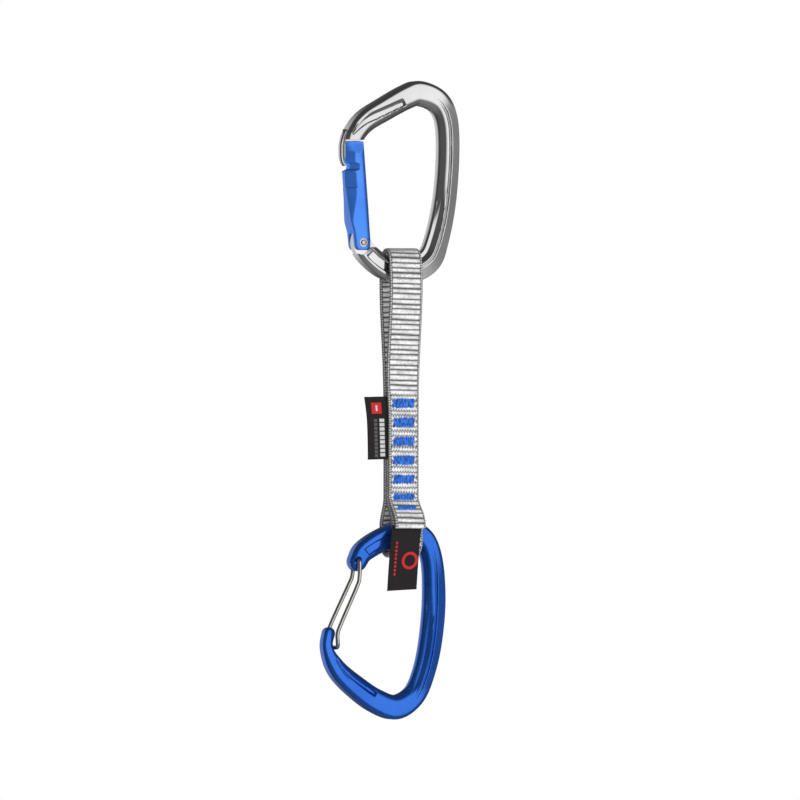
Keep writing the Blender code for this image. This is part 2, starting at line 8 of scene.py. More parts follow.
import bpy
import numpy as np
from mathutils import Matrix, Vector


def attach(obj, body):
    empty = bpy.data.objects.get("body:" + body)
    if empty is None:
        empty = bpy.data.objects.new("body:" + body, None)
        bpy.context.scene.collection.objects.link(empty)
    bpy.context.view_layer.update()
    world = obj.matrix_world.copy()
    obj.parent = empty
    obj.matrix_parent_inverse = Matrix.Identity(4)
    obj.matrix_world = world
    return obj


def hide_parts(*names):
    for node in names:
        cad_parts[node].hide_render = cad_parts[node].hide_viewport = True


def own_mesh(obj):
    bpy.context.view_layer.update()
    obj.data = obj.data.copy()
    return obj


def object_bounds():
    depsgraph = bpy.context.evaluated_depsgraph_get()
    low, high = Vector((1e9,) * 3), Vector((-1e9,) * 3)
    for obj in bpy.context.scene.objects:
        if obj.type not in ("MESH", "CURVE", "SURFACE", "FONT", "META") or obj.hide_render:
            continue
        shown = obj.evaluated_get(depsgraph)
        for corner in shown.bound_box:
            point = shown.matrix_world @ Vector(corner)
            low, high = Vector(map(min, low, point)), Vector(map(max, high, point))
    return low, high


MM = 0.001
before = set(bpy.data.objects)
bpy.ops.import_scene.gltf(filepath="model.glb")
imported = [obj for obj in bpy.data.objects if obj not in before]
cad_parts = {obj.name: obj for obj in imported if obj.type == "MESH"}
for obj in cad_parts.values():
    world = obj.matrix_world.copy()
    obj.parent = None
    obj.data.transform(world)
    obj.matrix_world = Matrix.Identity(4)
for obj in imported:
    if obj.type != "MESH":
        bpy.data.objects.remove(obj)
cad_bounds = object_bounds()

# Carabiner bars. A station is x, z, half depth in the plane, half thickness.
UPPER_STATIONS = [
    (-37.4, -22.0, 4.6, 5.0), (-36.2, -16.2, 5.0, 5.0), (-29.8, -8.3, 5.5, 5.0),
    (-18.2, -1.5, 5.8, 5.0), (-7.1, 4.2, 6.0, 5.0), (0.0, 6.1, 6.1, 5.0),
    (10.0, 2.2, 5.8, 5.0), (14.8, -7.3, 5.5, 5.0), (15.6, -24.4, 5.4, 5.0),
    (13.7, -46.4, 5.5, 5.0), (9.4, -65.4, 5.8, 5.0), (4.2, -76.0, 6.2, 5.0),
    (-7.7, -81.2, 6.0, 5.0), (-18.4, -79.0, 5.7, 5.0), (-26.8, -73.6, 5.4, 5.0),
    (-31.2, -68.0, 5.2, 5.0), (-31.9, -62.4, 3.6, 5.0),
]
LOWER_STATIONS = [
    (-33.6, -222.4, 4.8, 4.2), (-30.9, -218.2, 5.2, 4.4), (-25.4, -214.6, 5.5, 4.6),
    (-17.6, -211.0, 5.6, 4.6), (-7.7, -208.0, 5.8, 4.6), (2.2, -211.6, 5.2, 4.6),
    (6.9, -222.8, 5.2, 4.6), (8.0, -241.6, 5.6, 4.6), (6.2, -261.1, 5.6, 4.6),
    (2.5, -276.7, 5.4, 4.6), (-3.2, -288.2, 5.5, 4.6), (-13.1, -293.7, 6.0, 4.6),
    (-24.1, -290.2, 5.9, 4.6), (-34.0, -283.8, 5.6, 4.6), (-42.4, -277.0, 5.0, 4.5),
    (-46.9, -271.6, 4.2, 4.2), (-49.6, -266.4, 3.1, 3.5), (-50.3, -262.0, 2.8, 3.2),
    (-49.2, -257.2, 3.0, 3.1),
]
RING_SPACING = 0.5
INNER_ROUND = 4.7
OUTER_ROUND = 2.6
CAP_ANGLES = (8, 86, 12)

# Solid gate. Its outline is z, x down the left and the right edge.
GATE_PIVOT = (-32.2, -67.1)
GATE_TILT = math.radians(4.7)
GATE_HALF = 4.5
GATE_LEFT = [(-17.9, -41.1), (-28.2, -41.1), (-29.0, -38.7), (-31.4, -38.7), (-32.4, -41.1),
             (-37.0, -40.9), (-57.0, -38.7), (-62.0, -37.2), (-70.8, -36.2)]
GATE_RIGHT = [(-17.9, -31.1), (-46.0, -28.8), (-66.0, -27.3), (-70.8, -27.4)]
NOSE_SHOULDER_Z = -17.1
NOSE_TONGUE_HALF = 1.6
NOSE_RIM = [(-40.0, -12.5), (-41.6, -16.0), (-42.5, -19.5), (-42.6, -22.5), (-42.5, -25.5), (-42.0, -27.8),
            (-41.1, -29.1), (-40.2, -29.5)]
TANG_HALF = 1.9
TANG_SLOT_HALF = 2.25
TANG_SHOULDER_RADIUS = 6.0
TANG_SHOULDER_DROP = 2.2
SLOT_TOP = 6.8
RIVET_RADIUS = 1.5
RIVET_HEAD_RADIUS = 2.1
BORE_OFFSET = 0.5
BORE_RADIUS = 1.75
BORE_TOP = 27.0
TOUCH_GAP = 0.3
PLUNGER_FOOT = 5.5
PLUNGER_LENGTH = 6.0
PLUNGER_RADIUS = 1.4
SPRING_WIRE = 0.3
SPRING_TURNS = 8

# Wire gate.
WIRE_RADIUS = 1.0
WIRE_HOLE_RADIUS = 1.85
WIRE_LEG_Y = 5.6
WIRE_END_Y = 2.3
FRONT_HOLE = (-35.0, -221.6)
REAR_HOLE = (-33.0, -223.4)

# Sling.
STRAP_X = -9.6
STRAP_HALF = 8.25
PLY = 2.2
PLY_PITCH = PLY + TOUCH_GAP
UPPER_AXIS_Z = -77.2
LOWER_AXIS_Z = -212.8
UPPER_LOOP_RADIUS = 6.6
TOP_HALF = 8.5
LOWER_LOOP_RADIUS = 6.9
LOOP_BULGE = 9.7
BULGE_DROP = 9.0
SEWN_TOP_Z = -142.5
SEWN_BOTTOM_Z = -191.5
LOWER_SPREAD_Z = -205.2
FLAP_END_Z = -206.4
FLAP_LIFT = 1.2
RIB_PITCH = 2.5
TACK_X = STRAP_X - 0.3
TACK_TOP_Z = -145.4
TACK_PITCH = 9.25
END_STITCH_Z = -198.0
TWIST_TOP = -12.0
TWIST_BOTTOM = -1.5
LABEL_LEFT = STRAP_X - STRAP_HALF - 12.0
LABEL_WIDTH = 15.0
LABEL_LENGTH = 30.6
LABEL_TOP_Z = -142.0
TAG_WIDTH = 16.0
TAG_LENGTH = 32.0
TAG_TOP = (-10.9, -8.75, -204.6)
TAG_LEAN = math.radians(8.0)
TAG_FLARE = math.radians(5.0)

# Studio. Zones are where it is bright: direction, angles of the full and the outer edge, strength.
FLOOR_Z = -430.0
FLOOR_HALF = 1150.0
CAMERA_YAW = math.radians(-27.0)
CAMERA_DISTANCE = 3.2
VIEW_WIDTH = 0.3904
STUDIO_BASE = 0.075
SOFT_ZONES = [
    ((0.33, -0.94, 0.05), 13, 48, 1.35),
    ((-0.3, 0.95, 0.0), 12, 42, 0.8),
    ((-1.0, -0.5, 0.0), 5, 50, 0.06),
    ((0.1, -0.2, -1.0), 10, 70, 0.2),
]
LIGHTS = [
    ("key", (0.35, -1.5, 0.1), (0.7, 1.0), 13.0),
    ("fill", (-1.0, -1.2, 0.0), (0.9, 1.2), 9.0),
    ("rear_left", (-0.9, 1.2, -0.2), (0.8, 0.8), 7.0),
    ("rear_right", (0.9, 1.2, -0.2), (0.8, 0.8), 6.0),
]


# ---------------------------------------------------------------- materials

def node_material(name, color, metallic, roughness, **sockets):
    """A material with its shader; extra sockets are given with _ for each space."""
    made = bpy.data.materials.new(name)
    made.use_nodes = True
    shader = made.node_tree.nodes["Principled BSDF"]
    shader.inputs["Base Color"].default_value = (*color, 1.0)
    shader.inputs["Metallic"].default_value = metallic
    shader.inputs["Roughness"].default_value = roughness
    for socket, value in sockets.items():
        shader.inputs[socket.replace("_", " ")].default_value = value
    return made, made.node_tree, shader


def add_node(tree, kind, **settings):
    node = tree.nodes.new(kind)
    for key, value in settings.items():
        if key in node.inputs:
            node.inputs[key].default_value = value
        else:
            setattr(node, key, value)
    return node


def object_coords(tree, scale):
    coords = add_node(tree, "ShaderNodeTexCoord")
    mapping = add_node(tree, "ShaderNodeMapping")
    mapping.inputs["Scale"].default_value = scale
    tree.links.new(coords.outputs["Object"], mapping.inputs["Vector"])
    return mapping.outputs["Vector"]


def ramp(tree, factor, stops):
    node = add_node(tree, "ShaderNodeValToRGB")
    elements = node.color_ramp.elements
    while len(elements) < len(stops):
        elements.new(0.5)
    for element, (position, color) in zip(elements, stops):
        element.position = position
        element.color = (*color, 1.0)
    tree.links.new(factor, node.inputs["Fac"])
    return node.outputs["Color"]


def noise(tree, vector, scale, detail=3.0):
    node = add_node(tree, "ShaderNodeTexNoise", Scale=scale, Detail=detail)
    tree.links.new(vector, node.inputs["Vector"])
    return node.outputs["Fac"]


def bump(tree, shader, height, strength, distance):
    node = add_node(tree, "ShaderNodeBump", Strength=strength, Distance=distance)
    tree.links.new(height, node.inputs["Height"])
    tree.links.new(node.outputs["Normal"], shader.inputs["Normal"])


def anodised(name, color, metallic, roughness, coat):
    """Polished and anodised forging: a faint cloudiness in the colour and in the polish."""
    made, tree, shader = node_material(name, color, metallic, roughness,
                                       Coat_Weight=coat, Coat_Roughness=0.12)
    cloud = noise(tree, object_coords(tree, (1, 1, 1)), 45.0)
    lighter = [min(1.0, c * 1.1 + 0.01) for c in color]
    darker = [c * 0.93 for c in color]
    tree.links.new(ramp(tree, cloud, [(0.35, darker), (0.7, lighter)]), shader.inputs["Base Color"])
    fine = noise(tree, object_coords(tree, (1, 1, 0.3)), 1200.0, 4.0)
    rough = add_node(tree, "ShaderNodeMapRange")
    rough.inputs["To Min"].default_value = roughness * 0.85
    rough.inputs["To Max"].default_value = roughness * 1.2
    tree.links.new(fine, rough.inputs["Value"])
    tree.links.new(rough.outputs["Result"], shader.inputs["Roughness"])
    bump(tree, shader, fine, 0.015, 0.0001)
    return made


def steel(name):
    """Drawn stainless wire with faint lines and small colour changes."""
    made, tree, shader = node_material(name, (0.5, 0.485, 0.46), 1.0, 0.22)
    lines = noise(tree, object_coords(tree, (1, 1, 0.15)), 900.0)
    tree.links.new(ramp(tree, lines, [(0.3, (0.44, 0.425, 0.4)), (0.7, (0.56, 0.545, 0.52))]),
                   shader.inputs["Base Color"])
    bump(tree, shader, lines, 0.02, 0.0001)
    return made


def attribute(tree, name):
    return add_node(tree, "ShaderNodeAttribute", attribute_name=name).outputs["Fac"]


def webbing():
    """Ribbed polyamide: pale yarn crests, grooves darkened with painted shade, and fine strands along the
    strap.
    """
    made, tree, shader = node_material("webbing", (0.5, 0.5, 0.51), 0.0, 0.85,
                                       Sheen_Weight=0.1, Sheen_Roughness=0.5)
    # Painted shade: the lower the weave stands, the darker its colour, so the grooves come out nearly black.
    crest = ramp(tree, attribute(tree, "crest"),
                 [(0.1, (0.06, 0.06, 0.062)), (0.35, (0.2, 0.2, 0.203)), (0.62, (0.56, 0.56, 0.558)),
                  (0.9, (0.82, 0.82, 0.815))])
    speckle = noise(tree, object_coords(tree, (1, 1, 1)), 900.0, 5.0)
    mix = add_node(tree, "ShaderNodeMix", data_type="RGBA", blend_type="MULTIPLY")
    mix.inputs["Factor"].default_value = 0.75
    tree.links.new(crest, mix.inputs["A"])
    tree.links.new(ramp(tree, speckle, [(0.3, (0.5, 0.5, 0.5)), (0.62, (1.0, 1.0, 1.0))]), mix.inputs["B"])
    tree.links.new(mix.outputs["Result"], shader.inputs["Base Color"])
    bump(tree, shader, speckle, 0.5, 0.0003)
    return made


def thread(name, dark, pale):
    """Dense stitching thread: each strand a little different, with a soft sheen."""
    made, tree, shader = node_material(name, pale, 0.0, 0.6, Sheen_Weight=0.08, Sheen_Roughness=0.4)
    grain = noise(tree, object_coords(tree, (3.0, 1, 0.7)), 700.0, 4.0)
    fleck = [min(1.0, 1.6 * c + 0.05) for c in pale]
    tree.links.new(ramp(tree, grain, [(0.36, dark), (0.52, pale), (0.7, fleck)]), shader.inputs["Base Color"])
    bump(tree, shader, grain, 0.4, 0.0003)
    return made


def ribbon(name, color):
    """Woven satin ribbon: a fine crossed weave with a low sheen."""
    made, tree, shader = node_material(name, color, 0.0, 0.8, Sheen_Weight=0.02, Sheen_Roughness=0.4)
    coords = object_coords(tree, (1, 1, 1))
    waves = []
    for direction in ("X", "Z"):
        wave = add_node(tree, "ShaderNodeTexWave", bands_direction=direction, Scale=700.0, Distortion=1.0)
        tree.links.new(coords, wave.inputs["Vector"])
        waves.append(wave.outputs["Fac"])
    product = add_node(tree, "ShaderNodeMath", operation="MULTIPLY")
    tree.links.new(waves[0], product.inputs[0])
    tree.links.new(waves[1], product.inputs[1])
    paler = [c * 1.5 + 0.004 for c in color]
    tree.links.new(ramp(tree, product.outputs["Value"], [(0.1, color), (0.9, paler)]),
                   shader.inputs["Base Color"])
    bump(tree, shader, product.outputs["Value"], 0.4, 0.0002)
    return made


# ---------------------------------------------------------------- mesh helpers

def piece(name, verts, faces, mat, body, nodes, sharp=35.0):
    """A visible piece from vertices in millimetres, riding on a body and standing for CAD nodes."""
    mesh = bpy.data.meshes.new(name)
    mesh.from_pydata((np.asarray(verts, float) * MM).tolist(), [], faces)
    mesh.validate()
    obj = bpy.data.objects.new(name, mesh)
    bpy.context.scene.collection.objects.link(obj)
    mesh.materials.append(mat)
    mesh.shade_smooth()
    mesh.set_sharp_from_angle(angle=math.radians(sharp))
    if body:
        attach(obj, body)
    if nodes:
        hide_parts(*nodes)
    return obj


def skin(rings):
    """Vertices and faces of a closed skin over equal-length rings."""
    rings = np.asarray(rings, float)
    layers, count = rings.shape[:2]
    faces = []
    for i in range(layers - 1):
        base = i * count
        for j in range(count):
            k = (j + 1) % count
            faces.append((base + j, base + k, base + count + k, base + count + j))
    faces.append(tuple(range(count - 1, -1, -1)))
    last = (layers - 1) * count
    faces.append(tuple(range(last, last + count)))
    verts = rings.reshape(-1, 3)
    return outward(verts, faces)


def outward(verts, faces):
    """Turns the faces round if the skin's volume comes out negative."""
    volume = 0.0
    for face in faces:
        a = verts[face[0]]
        for i in range(1, len(face) - 1):
            volume += np.dot(a, np.cross(verts[face[i]], verts[face[i + 1]]))
    if volume < 0:
        faces = [tuple(reversed(face)) for face in faces]
    return verts, faces


def joined(shapes):
    verts = []
    faces = []
    start = 0
    for part_verts, part_faces in shapes:
        verts.append(np.asarray(part_verts, float))
        faces += [tuple(i + start for i in face) for face in part_faces]
        start += len(part_verts)
    return np.vstack(verts), faces


def prism_y(outline, y0, y1):
    return skin([[(x, y, z) for x, z in outline] for y in (y0, y1)])


def box(x0, x1, y0, y1, z0, z1):
    return prism_y([(x0, z0), (x1, z0), (x1, z1), (x0, z1)], y0, y1)


def turned_y(center, profile, count=48):
    rings = []
    for y, radius in profile:
        angles = [2.0 * math.pi * i / count for i in range(count)]
        rings.append([(center[0] + radius * math.cos(a), y, center[1] + radius * math.sin(a))
                      for a in angles])
    return skin(rings)


def carve(target, shapes, operation="DIFFERENCE"):
    """Cuts or adds closed shapes and keeps only the result."""
    verts, faces = joined(shapes)
    mesh = bpy.data.meshes.new("tool")
    mesh.from_pydata((verts * MM).tolist(), [], faces)
    tool = bpy.data.objects.new("tool", mesh)
    bpy.context.scene.collection.objects.link(tool)
    modifier = target.modifiers.new("carve", "BOOLEAN")
    modifier.object = tool
    modifier.operation = operation
    modifier.solver = "EXACT"
    apply_modifiers(target)
    bpy.data.objects.remove(tool, do_unlink=True)
    bpy.data.meshes.remove(mesh)


def apply_modifiers(target, sharp=32.0):
    bpy.context.view_layer.update()
    shaped = target.evaluated_get(bpy.context.evaluated_depsgraph_get())
    fresh = bpy.data.meshes.new_from_object(shaped)
    target.modifiers.clear()
    old = target.data
    target.data = fresh
    bpy.data.meshes.remove(old)
    fresh.shade_smooth()
    fresh.set_sharp_from_angle(angle=math.radians(sharp))


def step(value, low, high):
    """0 below low, 1 above high and smooth between."""
    t = np.clip((value - low) / (high - low), 0.0, 1.0)
    return t * t * (3.0 - 2.0 * t)


def smooth_rows(rows, spacing):
    """Catmull-Rom rows about spacing apart, with the place in spans as the last column."""
    rows = np.array(rows, dtype=float)
    padded = np.vstack([2 * rows[0] - rows[1], rows, 2 * rows[-1] - rows[-2]])
    result = []
    for i in range(len(rows) - 1):
        p0, p1, p2, p3 = padded[i:i + 4]
        count = max(2, round(float(np.linalg.norm((p2 - p1)[:3])) / spacing))
        for k in range(count):
            t = k / count
            value = 0.5 * (2 * p1 + (p2 - p0) * t + (2 * p0 - 5 * p1 + 4 * p2 - p3) * t ** 2
                           + (3 * p1 - p0 - 3 * p2 + p3) * t ** 3)
            result.append([*value, i + t])
    result.append([*rows[-1], len(rows) - 1])
    return np.array(result)


# ---------------------------------------------------------------- carabiner bars

def half_section(depth, thick):
    """Half of a bar's plain section as (outward, through) rows, inner edge to outer edge."""
    inner = min(INNER_ROUND, thick * 0.93, depth * 0.85)
    outer = min(OUTER_ROUND, thick * 0.7, depth * 0.6)
    sweep = np.radians(np.linspace(180, 270, 27))
    near = np.stack([-depth + inner + inner * np.cos(sweep), thick - inner - inner * np.sin(sweep)], 1)
    flat_u = np.linspace(-depth + inner, depth - outer, 40)[1:-1]
    flat = np.stack([flat_u, np.full(len(flat_u), thick)], 1)
    sweep = np.radians(np.linspace(270, 360, 13))
    far = np.stack([depth - outer + outer * np.cos(sweep), thick - outer - outer * np.sin(sweep)], 1)
    return np.vstack([[(-depth, 0.0)], near, flat, far, [(depth, 0.0)]])


def bar(stations, relief, round_start, round_end):
    """Rings of a forged bar; relief(place, u, depth, plain) gives the height of its faces."""
    rows = smooth_rows(stations, RING_SPACING)
    tangents = np.gradient(rows[:, :2], axis=0)
    tangents /= np.linalg.norm(tangents, axis=1)[:, None]
    rings = []
    for (x, z, depth, thick, place), (tx, tz) in zip(rows, tangents):
        half = half_section(depth, thick)
        u, plain = half[:, 0], half[:, 1]
        v = relief(place, u, depth, plain)
        u = np.concatenate([u, u[::-1][1:-1]])
        v = np.concatenate([-v, v[::-1][1:-1]])
        rings.append(np.stack([x - tz * u, v, z + tx * u], 1))
    if round_start:
        rings = round_cap(rings[0], rows[0], -tangents[0])[::-1] + rings
    if round_end:
        rings = rings + round_cap(rings[-1], rows[-1], tangents[-1])
    return skin(rings)


def round_cap(ring, row, direction):
    """Shrinking rings that close a bar's end with a dome."""
    center = np.array([row[0], 0.0, row[1]])
    ahead = np.array([direction[0], 0.0, direction[1]])
    rings = []
    for angle in np.radians(np.linspace(*CAP_ANGLES)):
        scale = np.array([math.cos(angle), 0.45 + 0.55 * math.cos(angle), math.cos(angle)])
        rings.append(center + (ring - center) * scale + ahead * row[2] * math.sin(angle))
    return rings


def trough(u, low, high, wall):
    """1 in the floor between low and high, with a straight wall of the given width on each side."""
    return np.clip((u - low) / wall, 0.0, 1.0) * np.clip((high - u) / wall, 0.0, 1.0)


def channel(u, depth, plain, amount, low):
    """A spine's face: a ridge line, a groove and a sloped flange, with a hollow inside the ridge low down."""
    if amount <= 0.0:
        return plain
    thick = plain.max()
    s = u + depth
    ridge = 4.1 + 0.6 * low
    flange = ridge + 1.8
    hollow = np.interp(s, [0.0, 0.3, 0.65, 0.8, 2.5, ridge - 0.15, ridge],
                       [thick, thick, thick, thick - 2.6, thick - 2.3, thick - 0.4, thick])
    face = np.interp(s, [0.0, ridge - 0.05, ridge, ridge + 0.35, ridge + 0.5, flange - 0.12, flange,
                         flange + 0.35, 2 * depth],
                     [thick, thick, thick - 0.12, thick - 0.14, thick - 0.32, thick - 0.6, thick - 0.02,
                      thick - 0.05, thick - 0.31 * (2 * depth - flange - 0.35)])
    shaped = plain + amount * (np.minimum(plain, face) - plain)
    return shaped + low * amount * (np.minimum(shaped, hollow) - shaped)


def wedge(u, run, upper, lower, depth_end):
    """A scoop that deepens along its run: a broad slanted upper wall, a floor and a steep lower wall."""
    if run <= 0.0 or run >= 1.0:
        return np.zeros_like(u)
    top = np.interp(run, [0.0, 0.5, 1.0], upper)
    bottom = np.interp(run, [0.0, 0.5, 1.0], lower)
    wall = top - (top - bottom) * (0.2 + 0.32 * run)
    deep = (0.25 + (depth_end - 0.25) * run) * (1.0 - step(run, 0.975, 1.0))
    scoop = np.interp(u, [bottom, bottom + 0.5, wall, top], [0.0, 1.0, 1.0, 0.0], left=0.0, right=0.0)
    rim = 0.22 * trough(u, top + 0.35, top + 0.75, 0.15) * (1.0 - step(run, 0.45, 0.6))
    return deep * scoop + rim


def upper_relief(place, u, depth, plain):
    """Face of the upper bar: spine channel, top scoop and bottom plate; place counts stations."""
    amount = step(place, 5.5, 6.6) * (1.0 - step(place, 11.6, 12.4))
    shaped = channel(u, depth, plain, amount, step(place, 8.5, 9.9))
    sunk = wedge(u, (place - 1.0) / 2.68, (2.6, 2.9, 1.1), (2.1, -1.7, -3.1), 1.5)
    plate = step(place, 12.7, 12.9) * (1.0 - step(place, 14.2, 14.4))
    sunk = sunk + plate * 0.85 * trough(u, -2.2, 2.9, 0.7)
    return np.minimum(shaped, np.maximum(plain - sunk, 1.0))


def lower_relief(place, u, depth, plain):
    """Face of the lower bar: spine channel, bottom scoop and nose plate; place counts stations."""
    amount = step(place, 5.3, 6.6) * (1.0 - step(place, 9.3, 10.4))
    shaped = channel(u, depth, plain, amount, 0.55 * step(place, 6.6, 8.0))
    sunk = wedge(u, (15.3 - place) / 3.1, (-1.3, -0.2, -0.4), (-2.0, -2.6, -3.4), 1.3)
    plate = step(place, 1.05, 1.2) * (1.0 - step(place, 3.1, 3.3))
    sunk = sunk + plate * 0.85 * trough(u, -2.5, 2.0, 0.7)
    return np.minimum(shaped, np.maximum(plain - sunk, 1.0))


def upper_frame(mat):
    """The solid-gate forging, with its slotted-in tang, rivet hole and hooked nose."""
    verts, faces = bar(UPPER_STATIONS, upper_relief, False, False)
    obj = piece("upper_frame_forging", verts, faces, mat, "upper_carabiner", ["upper_frame"])
    px, pz = GATE_PIVOT
    reach = math.sqrt(TANG_SHOULDER_RADIUS ** 2 - TANG_SHOULDER_DROP ** 2)
    arc = np.linspace(math.atan2(-TANG_SHOULDER_DROP, -reach), math.atan2(-TANG_SHOULDER_DROP, reach), 33)
    outline = [(px - 14, pz + 14), (px - 14, pz - TANG_SHOULDER_DROP)]
    outline += [(px + TANG_SHOULDER_RADIUS * math.cos(a), pz + TANG_SHOULDER_RADIUS * math.sin(a))
                for a in arc]
    outline += [(px + 12, pz - TANG_SHOULDER_DROP), (px + 12, pz + 14)]
    cheeks = [prism_y(outline, side * TANG_HALF, side * 9.0) for side in (-1, 1)]
    carve(obj, cheeks + [box(-50, -28, -9, 9, -32, NOSE_SHOULDER_Z)])
    hole = RIVET_RADIUS + TOUCH_GAP
    carve(obj, [turned_y(GATE_PIVOT, [(-4, hole), (4, hole)])])
    plate = [[(left, -0.15, z), (-40.2, -1.5, z), (-37.0, -1.5, z), (-37.0, 1.5, z), (-40.2, 1.5, z),
              (left, 0.15, z)] for left, z in ((-41.4, -12.0), (-42.6, -20.0), (-42.4, -26.0))]
    rib = box(-37.0, -32.2, -1.5, 1.5, -17.75, -15.5)
    carve(obj, [skin(plate)], "UNION")
    carve(obj, [rib], "UNION")
    carve(obj, [hook_rim(NOSE_RIM, 0.8, NOSE_TONGUE_HALF)], "UNION")
    return obj


def hook_rim(path, half_width, half_thickness, count=24):
    """A rounded oval bar along a path in x, z, with rounded ends."""
    rows = smooth_rows([(x, z, 0.0, 0.0) for x, z in path], 0.35)[:, :2]
    tangents = np.gradient(rows, axis=0)
    tangents /= np.linalg.norm(tangents, axis=1)[:, None]
    along = np.concatenate([[0.0], np.cumsum(np.linalg.norm(np.diff(rows, axis=0), axis=1))])
    rings = []
    for (x, z), (tx, tz), s in zip(rows, tangents, along):
        end = min(s, along[-1] - s) / half_width
        grow = math.sqrt(max(0.02, 1.0 - (1.0 - min(1.0, end)) ** 2))
        ring = []
        for a in np.linspace(0, 2 * math.pi, count, endpoint=False):
            w = half_width * grow * math.copysign(abs(math.cos(a)) ** 0.8, math.cos(a))
            y = half_thickness * grow * math.copysign(abs(math.sin(a)) ** 0.8, math.sin(a))
            ring.append((x - tz * w, y, z + tx * w))
        rings.append(ring)
    return skin(rings)


def lower_frame(mat):
    """The wire-gate forging, with a blind hole in each side for the wire's ends."""
    verts, faces = bar(LOWER_STATIONS, lower_relief, True, True)
    obj = piece("lower_frame_forging", verts, faces, mat, "lower_carabiner", ["lower_frame"])
    radius = WIRE_HOLE_RADIUS
    carve(obj, [turned_y(FRONT_HOLE, [(-9, radius), (-1.6, radius)]),
                turned_y(REAR_HOLE, [(1.6, radius), (9, radius)])])
    return obj


# ---------------------------------------------------------------- solid gate

def filleted(corners, radii, count=6):
    """A closed outline with its corners rounded by arcs."""
    corners = np.array(corners, float)
    points = []
    for i, corner in enumerate(corners):
        before = corners[i - 1] - corner
        after = corners[(i + 1) % len(corners)] - corner
        before /= np.linalg.norm(before)
        after /= np.linalg.norm(after)
        for t in np.linspace(0, 1, count):
            start = corner + before * radii[i]
            end = corner + after * radii[i]
            points.append((1 - t) ** 2 * start + 2 * t * (1 - t) * corner + t ** 2 * end)
    return np.array(points)


def gate_ring(z):
    """One level section of the solid gate, chamfered along its outer edges."""
    left = np.interp(-z, [-p[0] for p in GATE_LEFT], [p[1] for p in GATE_LEFT])
    right = np.interp(-z, [-p[0] for p in GATE_RIGHT], [p[1] for p in GATE_RIGHT])
    pad = step(-z, 33.0, 33.3) * (1.0 - step(-z, 40.4, 40.7))
    taper = 1.0 - 0.8 * step(-z, 41.0, 59.0)
    wide = 4.6 * taper + 0.5 * pad
    deep = 2.5 * taper + 0.45 * pad
    half = GATE_HALF
    corners = [(right, -half), (left + wide, -half), (left, -half + deep), (left, half - deep),
               (left + wide, half), (right, half)]
    outline = filleted(corners, [3.9, 0.7, 0.3, 0.3, 0.7, 3.9], 10)
    cap = half - 1.4 * np.clip((z + 23.8) / 5.0, 0.0, 1.0)
    outline[:, 1] = np.clip(outline[:, 1], -cap, cap)
    middle = np.array([(left + right) / 2, 0.0])
    top = math.sqrt(max(0.0, 1.0 - ((z + 18.4) / 0.5) ** 2)) if z > -18.4 else 1.0
    low = math.sqrt(max(0.0, 1.0 - ((-68.6 - z) / 2.25) ** 2)) if z < -68.6 else 1.0
    inset = np.array([0.45, 0.45]) * (1.0 - top) + np.array([1.9, 0.5]) * (1.0 - low)
    size = np.array([(right - left) / 2, half])
    outline = middle + (outline - middle) * (1.0 - inset / size)
    return [(x, y, z) for x, y in outline]


def gate_point(x, y, w):
    """A point from x across, y through and w up the tilted gate, from its pivot."""
    cos_t = math.cos(GATE_TILT)
    sin_t = math.sin(GATE_TILT)
    return (GATE_PIVOT[0] + x * cos_t - w * sin_t, y, GATE_PIVOT[1] + x * sin_t + w * cos_t)


def on_bore(profile, count=32):
    rings = []
    for w, radius in profile:
        angles = [2.0 * math.pi * i / count for i in range(count)]
        rings.append([gate_point(BORE_OFFSET + radius * math.cos(a), radius * math.sin(a), w)
                      for a in angles])
    return skin(rings)


def upper_gate(mat):
    """The solid gate, slotted for the nose and the tang and bored for the rivet and the spring."""
    levels = np.concatenate([-18.4 + 0.5 * np.sin(np.linspace(math.pi / 2, 0, 7)),
                             np.arange(-18.7, -68.4, -0.3),
                             -68.6 - 2.2 * np.sin(np.linspace(0, math.pi / 2, 9))])
    verts, faces = skin([gate_ring(z) for z in levels])
    obj = piece("upper_gate_bar", verts, faces, mat, "upper_gate", ["upper_gate"])
    obj.visible_glossy = False
    slot = [gate_point(x, 0, w)[::2] for x, w in ((-14, -8), (14, -8), (14, SLOT_TOP), (-14, SLOT_TOP))]
    carve(obj, [prism_y(slot, -TANG_SLOT_HALF, TANG_SLOT_HALF), box(-48, -34.8, -2.0, 2.0, -31.0, -10)])
    head = RIVET_HEAD_RADIUS + TOUCH_GAP
    shaft = RIVET_RADIUS + TOUCH_GAP
    floor = GATE_HALF - 1.1
    carve(obj, [turned_y(GATE_PIVOT, [(-6, head), (-floor, head), (-floor, shaft), (floor, shaft),
                                      (floor, head), (6, head)])])
    carve(obj, [on_bore([(SLOT_TOP - 2, BORE_RADIUS), (BORE_TOP, BORE_RADIUS)])])
    return obj


